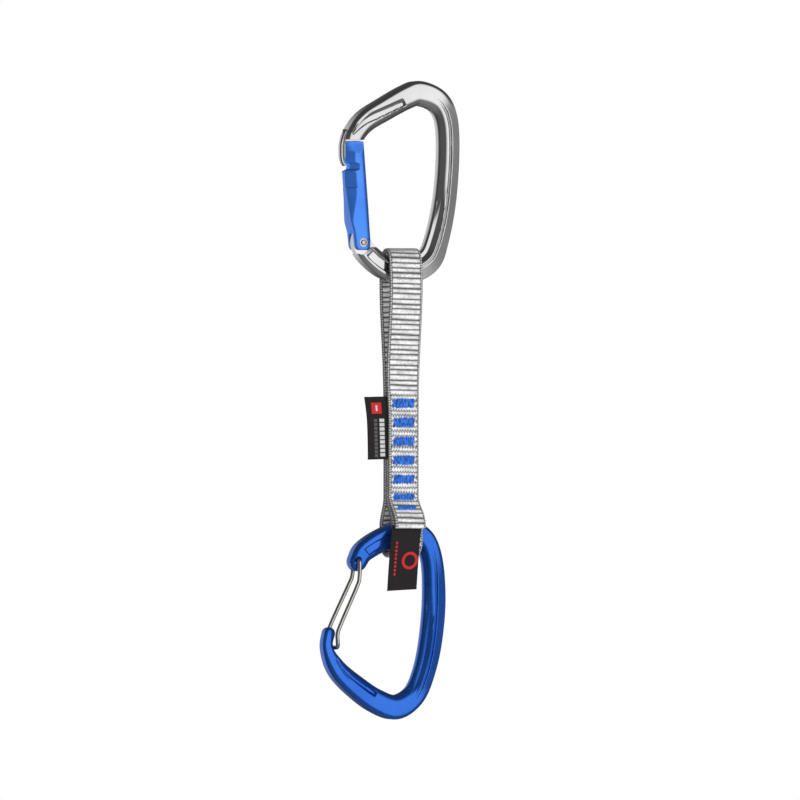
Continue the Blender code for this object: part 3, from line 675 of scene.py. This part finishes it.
def gate_hardware(mat):
    """The rivet, the plunger in the gate's bore and the spring behind it."""
    face = GATE_HALF
    inside = face - 0.8
    dome = [(0.4 * math.cos(a), 1.25 * math.sin(a) + 0.02) for a in np.linspace(0.15, math.pi / 2, 7)]
    dome += [(-0.35, 1.35), (-0.35, 1.65), (0.05, 1.75), (0.05, RIVET_HEAD_RADIUS)]
    profile = [(-face + 0.15 - h, r) for h, r in dome]
    profile += [(-inside, RIVET_HEAD_RADIUS), (-inside, RIVET_RADIUS), (inside, RIVET_RADIUS),
                (inside, RIVET_HEAD_RADIUS)]
    profile += [(face - 0.15 + h, r) for h, r in reversed(dome)]
    verts, faces = turned_y(GATE_PIVOT, profile)
    piece("gate_rivet_pin", verts, faces, mat, "upper_carabiner", ["upper_gate_rivet"])
    top = PLUNGER_FOOT + PLUNGER_LENGTH
    nose = [(PLUNGER_FOOT + PLUNGER_RADIUS * (1 - math.cos(a)), 0.12 + (PLUNGER_RADIUS - 0.12) * math.sin(a))
            for a in np.linspace(0, math.pi / 2, 8)]
    verts, faces = on_bore(nose + [(top, PLUNGER_RADIUS)])
    piece("gate_plunger_pin", verts, faces, mat, "gate_plunger", ["upper_gate_plunger"])
    wire = SPRING_WIRE
    low = top + TOUCH_GAP + wire
    high = BORE_TOP - TOUCH_GAP - wire
    radius = BORE_RADIUS - TOUCH_GAP - wire
    steps = SPRING_TURNS * 28
    rings = []
    for i in range(steps + 1):
        turn = 2.0 * math.pi * SPRING_TURNS * i / steps
        height = low + (high - low) * i / steps
        ring = []
        for a in np.linspace(0, 2 * math.pi, 10, endpoint=False):
            r = radius + wire * math.cos(a)
            ring.append(gate_point(BORE_OFFSET + r * math.cos(turn), r * math.sin(turn),
                                   height + wire * math.sin(a)))
        rings.append(ring)
    verts, faces = skin(rings)
    coil = piece("gate_spring_coil", verts, faces, mat, "upper_gate", ["upper_gate_spring"],
                 80)
    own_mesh(coil)


# ---------------------------------------------------------------- wire gate

def wire_gate(mat):
    """One bent wire: down from the front hole, round the nose and up to the rear hole."""
    front = [(FRONT_HOLE[0], -WIRE_END_Y, FRONT_HOLE[1]),
             (FRONT_HOLE[0], -WIRE_LEG_Y + 1.2, FRONT_HOLE[1]),
             (FRONT_HOLE[0], -WIRE_LEG_Y, FRONT_HOLE[1] - 1.4),
             (-35.2, -WIRE_LEG_Y, -229.8), (-36.6, -WIRE_LEG_Y, -234.6),
             (-44.8, -5.5, -251.6), (-46.9, -5.4, -257.0), (-46.8, -5.2, -260.8)]
    loop = [(-46.4, -4.4, -263.2), (-46.1, -2.2, -264.0), (-46.1, 2.2, -264.0), (-46.4, 4.4, -263.2)]
    rear = [(-46.8, 5.2, -260.8), (-46.7, 5.4, -257.0), (-44.4, 5.5, -251.2),
            (-35.4, WIRE_LEG_Y, -233.8), (-33.6, WIRE_LEG_Y, -229.8),
            (REAR_HOLE[0], WIRE_LEG_Y, REAR_HOLE[1] - 1.4),
            (REAR_HOLE[0], WIRE_LEG_Y - 1.2, REAR_HOLE[1]), (REAR_HOLE[0], WIRE_END_Y, REAR_HOLE[1])]
    path = smooth_rows(front + loop + rear, 0.35)[:, :3]
    tangents = np.gradient(path, axis=0)
    tangents /= np.linalg.norm(tangents, axis=1)[:, None]
    across = np.cross(tangents[0], (0.3, 0.2, 1.0))
    rings = []
    angles = np.linspace(0, 2 * math.pi, 20, endpoint=False)
    for point, tangent in zip(path, tangents):
        across = across - tangent * np.dot(across, tangent)
        across /= np.linalg.norm(across)
        other = np.cross(tangent, across)
        rings.append([point + WIRE_RADIUS * (math.cos(a) * across + math.sin(a) * other) for a in angles])
    verts, faces = skin(rings)
    piece("wire_gate_bend", verts, faces, mat, "wire_gate", ["lower_wire_gate"], 70)


# ---------------------------------------------------------------- sling

def twist_at(z):
    """The sling's turn about its own length, in radians: the webbing is never quite flat."""
    turned = TWIST_TOP * (1.0 - step(-z, 122.0, 156.0))
    turned = turned + TWIST_BOTTOM * step(-z, 182.0, 202.0)
    return np.radians(turned)


def twisted(verts):
    """Points of the sling after its twist about the strap's middle line."""
    verts = np.array(verts, float)
    angle = twist_at(verts[:, 2])
    x = verts[:, 0] - STRAP_X
    y = verts[:, 1].copy()
    verts[:, 0] = STRAP_X + x * np.cos(angle) - y * np.sin(angle)
    verts[:, 1] = x * np.sin(angle) + y * np.cos(angle)
    return verts


def upper_loop_half(z):
    """How far each ply of the upper loop stands from the middle at height z."""
    drop = UPPER_AXIS_Z - z
    bulge = TOP_HALF + (LOOP_BULGE - TOP_HALF) * step(drop, 0.0, BULGE_DROP)
    share = step(drop, BULGE_DROP, UPPER_AXIS_Z - SEWN_TOP_Z)
    return bulge + (PLY_PITCH - bulge) * share


def lower_loop_y(z, sewn_y, side):
    """Where a ply goes in Y as it leaves the sewn part for one side of the lower loop."""
    share = step(SEWN_BOTTOM_Z - z, 0.0, SEWN_BOTTOM_Z - LOWER_SPREAD_Z)
    return sewn_y + (side * LOWER_LOOP_RADIUS - sewn_y) * share


def strap_route():
    """The sling's centreline in YZ: front ply up, over, rear ply down, round and up the middle."""
    flap = []
    for z in np.linspace(FLAP_END_Z, SEWN_BOTTOM_Z, 40):
        share = (SEWN_BOTTOM_Z - z) / (SEWN_BOTTOM_Z - FLAP_END_Z)
        slope = lower_loop_y(z + 0.5, 0.0, -1) - lower_loop_y(z - 0.5, 0.0, -1)
        lift = (PLY_PITCH + FLAP_LIFT * step(share, 0.0, 1.0)) / math.hypot(1.0, slope)
        flap.append((lower_loop_y(z, 0.0, -1) - lift, z + slope * lift))
    up = [(-upper_loop_half(z), z) for z in np.linspace(SEWN_TOP_Z, UPPER_AXIS_Z, 120)]
    over = [(-TOP_HALF * math.cos(a), UPPER_AXIS_Z + UPPER_LOOP_RADIUS * math.sin(a))
            for a in np.linspace(0, math.pi, 40)[1:-1]]
    down = [(-y, z) for y, z in reversed(up)]
    spread = [(lower_loop_y(z, PLY_PITCH, 1), z) for z in np.linspace(SEWN_BOTTOM_Z, LOWER_SPREAD_Z, 30)]
    under = [(LOWER_LOOP_RADIUS * math.cos(a), LOWER_AXIS_Z - LOWER_LOOP_RADIUS * math.sin(a))
             for a in np.linspace(0, math.pi, 40)]
    back = [(lower_loop_y(z, 0.0, -1), z) for z in np.linspace(LOWER_SPREAD_Z, SEWN_BOTTOM_Z, 30)]
    return np.array(flap + up + over + down + spread + under + back + [(0.0, SEWN_TOP_Z - 0.8)])


def even(route, spacing):
    """The route again with points an even distance apart."""
    along = np.concatenate([[0.0], np.cumsum(np.linalg.norm(np.diff(route, axis=0), axis=1))])
    at = np.linspace(0.0, along[-1], int(along[-1] / spacing) + 1)
    return np.stack([np.interp(at, along, route[:, k]) for k in range(2)], 1), at


def weave(along, across, sewn):
    """How high the woven face stands, 0 in a groove and 1 on a crest; ragged where it is sewn."""
    edge = np.abs(across) / STRAP_HALF
    shifted = along + 0.03 * across
    shifted = shifted + 0.16 * np.sin(1.7 * along) + 0.1 * np.sin(0.61 * along + 1.0)
    shifted = shifted + sewn * 0.5 * np.sin(2 * np.pi * across / 1.45 + 2.1 * np.sin(0.9 * along))
    row = np.floor(shifted / RIB_PITCH)
    uneven = 0.9 + 0.1 * np.sin(row * 2.4 + 0.35 * across)
    rib = uneven * np.sin(np.pi * (shifted / RIB_PITCH - row)) ** 0.8
    strand = 0.5 + 0.5 * np.cos(2 * np.pi * (across / 0.92 + 0.5 * np.mod(row, 2)))
    body = rib * (0.86 + 0.14 * strand)
    knots = (np.abs(np.sin(np.pi * along / (RIB_PITCH / 2))) ** 0.7
             * (0.55 + 0.45 * np.cos(2 * np.pi * (edge - 0.93) / 0.11)))
    band = step(edge, 0.82, 0.86)
    return body * (1.0 - band) + knots * band


def strap(mat):
    """The whole sling as one woven strip along its route, with the weave in its mesh and, as painted shade in
    the grooves, in its colour.
    """
    route, at = even(strap_route(), 0.28)
    tangents = np.gradient(route, axis=0)
    tangents /= np.linalg.norm(tangents, axis=1)[:, None]
    normals = np.stack([-tangents[:, 1], tangents[:, 0]], 1)
    columns = np.linspace(-STRAP_HALF, STRAP_HALF, 46)
    thin = 1.0 - 0.55 * np.clip((np.abs(columns) - (STRAP_HALF - 0.9)) / 0.9, 0, 1) ** 2
    rings = []
    crests = []
    for point, normal, s in zip(route, normals, at):
        sewn = step(point[1], SEWN_BOTTOM_Z - 6.0, SEWN_BOTTOM_Z)
        sewn = sewn * (1.0 - step(point[1], SEWN_TOP_Z, SEWN_TOP_Z + 3.5))
        high = weave(s, columns, sewn)
        end = min(1.0, s / 0.8, (at[-1] - s) / 0.8) * 0.4 + 0.6
        ring = []
        for sign in (1, -1):
            half = (PLY / 2 * thin - 0.26 * (1.0 - high)) * end * sign
            face = np.stack([STRAP_X + columns, point[0] + normal[0] * half,
                             point[1] + normal[1] * half], 1)
            ring.append(face[::sign])
        rings.append(np.vstack(ring))
        crests.append(np.concatenate([high, high[::-1]]))
    verts, faces = skin(rings)
    obj = piece("sling_webbing_weave", twisted(verts), faces, mat, "sling", ["sling_webbing"],
                80)
    # The weave heights go to the material, which paints shade into the grooves from them.
    values = obj.data.attributes.new("crest", "FLOAT", "POINT")
    values.data.foreach_set("value", np.concatenate(crests).astype(np.float32))
    return obj


def pad_mesh(center, half, tilt, side, seed, pitch=0.42):
    """One face of a bar tack: strands side by side, of slightly uneven length."""
    rng = np.random.default_rng(seed)
    strands = int(2 * half[0] / pitch)
    per = 6
    xs = np.linspace(-half[0], half[0], strands * per + 1)
    ts = np.linspace(-1, 1, 15)
    reach = half[1] * (1.0 + 0.22 * rng.uniform(-1, 1, strands + 1))
    lift = 0.5 * (1.0 + 0.35 * rng.uniform(-1, 1, strands + 1))
    top = []
    bottom = []
    for i, x in enumerate(xs):
        strand = min(i // per, strands)
        ridge = abs(math.sin(math.pi * i / per))
        for t in ts:
            z = t * reach[strand] + 0.35 * t * ridge
            high = lift[strand] * (0.3 + 0.7 * ridge ** 0.7) * (1.0 - abs(t) ** 5) + 0.02
            top.append((x + 0.4 * t, high, z))
            bottom.append((x + 0.4 * t, -0.15, z))
    count = len(ts)
    faces = []
    total = len(top)
    for i in range(len(xs) - 1):
        for j in range(count - 1):
            a = i * count + j
            faces.append((a, a + 1, a + count + 1, a + count))
            faces.append((total + a, total + a + count, total + a + count + 1, total + a + 1))
    rim = [i * count for i in range(len(xs))]
    rim += [(len(xs) - 1) * count + j for j in range(1, count)]
    rim += [i * count + count - 1 for i in range(len(xs) - 2, -1, -1)]
    rim += list(range(count - 2, 0, -1))
    for a, b in zip(rim, rim[1:] + rim[:1]):
        faces.append((a, b, total + b, total + a))
    cos_t = math.cos(tilt)
    sin_t = math.sin(tilt)
    verts = []
    for x, high, z in top + bottom:
        y = side * high
        verts.append((center[0] + x, center[1] + y * cos_t - z * sin_t, center[2] + y * sin_t + z * cos_t))
    return outward(np.array(verts), faces)


def tacks(mat):
    """Six bar tacks and the end stitch, each with a pad of thread on both faces."""
    face = PLY_PITCH + PLY / 2
    for i in range(6):
        z = TACK_TOP_Z - TACK_PITCH * i
        shapes = [pad_mesh((TACK_X, side * face, z), (5.6, 1.95), 0.0, side, 10 * i + side + 1)
                  for side in (-1, 1)]
        verts, faces = joined(shapes)
        piece(f"bar_tack_thread_{i + 1}", twisted(verts), faces, mat, "sling", [f"bar_tack_{i + 1}"],
              60)
    z = END_STITCH_Z
    y = lower_loop_y(z, 0.0, -1)
    tilt = math.atan2(y - lower_loop_y(z - 0.5, 0.0, -1), 0.5)
    center = np.array([TACK_X, y - PLY_PITCH / 2 - 0.6, z])
    normal = np.array([0.0, math.cos(tilt), -math.sin(tilt)])
    shapes = [pad_mesh(center + side * 2.75 * normal, (5.0, 1.0), -tilt, side, 90 + side, 0.62)
              for side in (-1, 1)]
    verts, faces = joined(shapes)
    piece("end_stitch_thread", twisted(verts), faces, mat, "sling", ["end_stitch"], 60)


def cloth_block(place, width, length, thick, columns=20, rows=40):
    """A thin closed cloth: place(x, y, drop) gives a point from across, through and down."""
    rings = []
    for j in range(rows + 1):
        drop = length * j / rows
        ring = []
        for side in (1, -1):
            xs = np.linspace(-width / 2, width / 2, columns)[::side]
            for x in xs:
                rim = min(1.0, (width / 2 - abs(x)) / (thick * 0.8) * 0.6 + 0.4)
                ring.append(place(x, side * thick / 2 * rim, drop))
        rings.append(ring)
    return skin(rings)


def side_label(mat, red, white, grey_ribbon):
    """The label sewn into the strap's left edge, with a plain square and two rows of blocks."""
    edge = STRAP_X - STRAP_HALF
    middle = LABEL_LEFT + LABEL_WIDTH / 2

    def place(x, y, drop):
        out = max(0.0, edge - (middle + x))
        curl = -0.010 * out ** 2 * math.sin(0.4 + drop / 16.0)
        return (middle + x + 0.03 * drop, -PLY_PITCH / 2 + y + curl, LABEL_TOP_Z - drop - 0.02 * out)

    verts, faces = cloth_block(place, LABEL_WIDTH, LABEL_LENGTH, 0.75)
    label = piece("side_label_ribbon", twisted(verts), faces, mat, "sling", ["side_label"], 60)
    marks = [("side_label_square", red, [(-1.6, 5.6, 5.6, 5.4, 0.0)]),
             ("side_label_square_mark", white, [(-1.6, 5.6, 1.0, 2.8, 0.12)]),
             ("side_label_blocks", white, [(1.0, 11.6 + 2.1 * k, 2.7, 1.6, 0.0) for k in range(9)]),
             ("side_label_faint_blocks", grey_ribbon, [(-2.6, 11.6 + 1.9 * k, 1.9, 1.4, 0.0)
                                                       for k in range(10)])]
    for name, color, blocks in marks:
        shapes = []
        for x, drop, wide, tall, lift in blocks:
            for side in (-1, 1):
                def mark_place(u, y, d, x=x, drop=drop, tall=tall, side=side, lift=lift):
                    return place(x + u, side * (0.40 + lift) + y, drop - tall / 2 + d)
                shapes.append(cloth_block(mark_place, wide, tall, 0.14, 4, 6))
        verts, faces = joined(shapes)
        piece(name, twisted(verts), faces, color, "sling", [], 60)


def hang_tag(mat, red):
    """The tag under the front ply's end, leaning and curled a little, with a plain ring and dashes."""
    left, front, top = TAG_TOP

    def place(x, y, drop):
        curl = 0.5 * math.sin(drop / TAG_LENGTH * math.pi) - 0.012 * x * x * drop / TAG_LENGTH
        return (left + x - drop * math.sin(TAG_LEAN), front + y - drop * math.sin(TAG_FLARE) + curl * 0.7,
                top - drop * math.cos(TAG_LEAN) + 0.04 * x * drop / TAG_LENGTH)

    verts, faces = cloth_block(place, TAG_WIDTH, TAG_LENGTH, 0.7)
    tag = piece("hang_tag_ribbon", verts, faces, mat, "sling", ["hang_tag"], 60)
    shapes = []
    for k in range(9):
        def dash(u, y, d, k=k):
            return place(-4.6 + u, -0.39 + y, 8.2 + 1.9 * k + d)
        shapes.append(cloth_block(dash, 1.1, 1.2, 0.12, 5, 4))
    verts, faces = joined(shapes)
    piece("hang_tag_dashes", verts, faces, red, "sling", [], 60)
    rings = []
    for a in np.linspace(0, 2 * math.pi, 73):
        ring = []
        for radius, y in ((2.9, -0.33), (4.3, -0.33), (4.3, -0.45), (2.9, -0.45)):
            ring.append(place(3.2 + radius * math.cos(a), y, 17.6 + radius * math.sin(a)))
        rings.append(ring)
    verts, faces = skin(rings)
    piece("hang_tag_ring", verts, faces, red, "sling", [], 60)


# ---------------------------------------------------------------- stage

def stage():
    """A plain pale floor below the hanging object."""
    half = FLOOR_HALF
    verts = [(x, y, FLOOR_Z) for x, y in ((-half, -half), (half, -half), (half, half), (-half, half))]
    made, _, shader = node_material("pale_floor", (0.86, 0.86, 0.865), 0.0, 0.9)
    shader.inputs["Emission Color"].default_value = (1.0, 1.0, 1.0, 1.0)
    shader.inputs["Emission Strength"].default_value = 0.42
    floor = piece("floor", verts, [(0, 1, 2, 3)], made, None, [])
    floor.visible_glossy = False


def area_light(name, place, target, size, power):
    """A soft rectangular light that no polished face mirrors."""
    data = bpy.data.lights.new(name, "AREA")
    data.shape = "RECTANGLE"
    data.size = size[0]
    data.size_y = size[1]
    data.energy = power
    obj = bpy.data.objects.new(name, data)
    obj.location = place
    obj.visible_glossy = False
    bpy.context.scene.collection.objects.link(obj)
    aim(obj, target)


def aim(obj, target):
    direction = Vector(target) - obj.location
    obj.rotation_euler = direction.to_track_quat("-Z", "Y").to_euler()


def studio_world():
    """A dark studio with soft bright zones, which the camera itself sees as plain white."""
    world = bpy.data.worlds.new("studio")
    world.use_nodes = True
    tree = world.node_tree
    coords = add_node(tree, "ShaderNodeTexCoord")
    total = None
    for axis, inner, outer, strength in SOFT_ZONES:
        length = math.sqrt(sum(c * c for c in axis))
        dot = add_node(tree, "ShaderNodeVectorMath", operation="DOT_PRODUCT")
        tree.links.new(coords.outputs["Generated"], dot.inputs[0])
        dot.inputs[1].default_value = [c / length for c in axis]
        zone = add_node(tree, "ShaderNodeMapRange", interpolation_type="SMOOTHSTEP")
        zone.inputs["From Min"].default_value = math.cos(math.radians(outer))
        zone.inputs["From Max"].default_value = math.cos(math.radians(inner))
        zone.inputs["To Max"].default_value = strength
        tree.links.new(dot.outputs["Value"], zone.inputs["Value"])
        value = zone.outputs["Result"]
        if total is not None:
            add = add_node(tree, "ShaderNodeMath", operation="ADD")
            tree.links.new(total, add.inputs[0])
            tree.links.new(value, add.inputs[1])
            value = add.outputs["Value"]
        total = value
    base = add_node(tree, "ShaderNodeMath", operation="ADD")
    tree.links.new(total, base.inputs[0])
    base.inputs[1].default_value = STUDIO_BASE
    seen = add_node(tree, "ShaderNodeLightPath")
    behind = add_node(tree, "ShaderNodeMix", data_type="FLOAT")
    tree.links.new(seen.outputs["Is Camera Ray"], behind.inputs["Factor"])
    tree.links.new(base.outputs["Value"], behind.inputs["A"])
    behind.inputs["B"].default_value = 1.0
    tree.links.new(behind.outputs["Result"], tree.nodes["Background"].inputs["Strength"])
    tree.nodes["Background"].inputs["Color"].default_value = (1.0, 1.0, 1.0, 1.0)
    bpy.context.scene.world = world


def camera_and_lights():
    low, high = [np.array(corner) for corner in cad_bounds]
    middle = (low + high) / 2
    yaw = CAMERA_YAW
    distance = CAMERA_DISTANCE
    data = bpy.data.cameras.new("camera")
    data.sensor_width = 36.0
    data.lens = data.sensor_width * distance / VIEW_WIDTH
    data.shift_x = 0.0119
    camera = bpy.data.objects.new("camera", data)
    camera.location = (middle[0] + distance * math.sin(yaw), middle[1] - distance * math.cos(yaw),
                       middle[2])
    bpy.context.scene.collection.objects.link(camera)
    aim(camera, middle)
    bpy.context.scene.camera = camera
    for name, place, size, power in LIGHTS:
        area_light(name, place, middle, size, power)
    studio_world()
    bpy.context.scene.view_settings.view_transform = "Standard"


# ---------------------------------------------------------------- the object

grey = anodised("grey_anodised", (0.56, 0.56, 0.56), 1.0, 0.17, 0.2)
gate_blue = anodised("gate_blue", (0.042, 0.195, 0.74), 0.74, 0.3, 0.2)
frame_blue = anodised("frame_blue", (0.014, 0.115, 0.54), 0.82, 0.2, 0.2)
stainless = steel("stainless")
nylon = webbing()
blue_thread = thread("blue_thread", (0.008, 0.05, 0.2), (0.03, 0.17, 0.62))
black_ribbon = ribbon("black_ribbon", (0.008, 0.0065, 0.0065))
red_ribbon = ribbon("red_ribbon", (0.42, 0.012, 0.014))
white_ribbon = ribbon("white_ribbon", (0.42, 0.42, 0.42))
dim_ribbon = ribbon("dim_ribbon", (0.07, 0.068, 0.068))

camera_and_lights()
stage()
upper_frame(grey)
upper_gate(gate_blue)
gate_hardware(stainless)
lower_frame(frame_blue)
wire_gate(stainless)
strap(nylon)
tacks(blue_thread)
side_label(black_ribbon, red_ribbon, white_ribbon, dim_ribbon)
hang_tag(black_ribbon, red_ribbon)
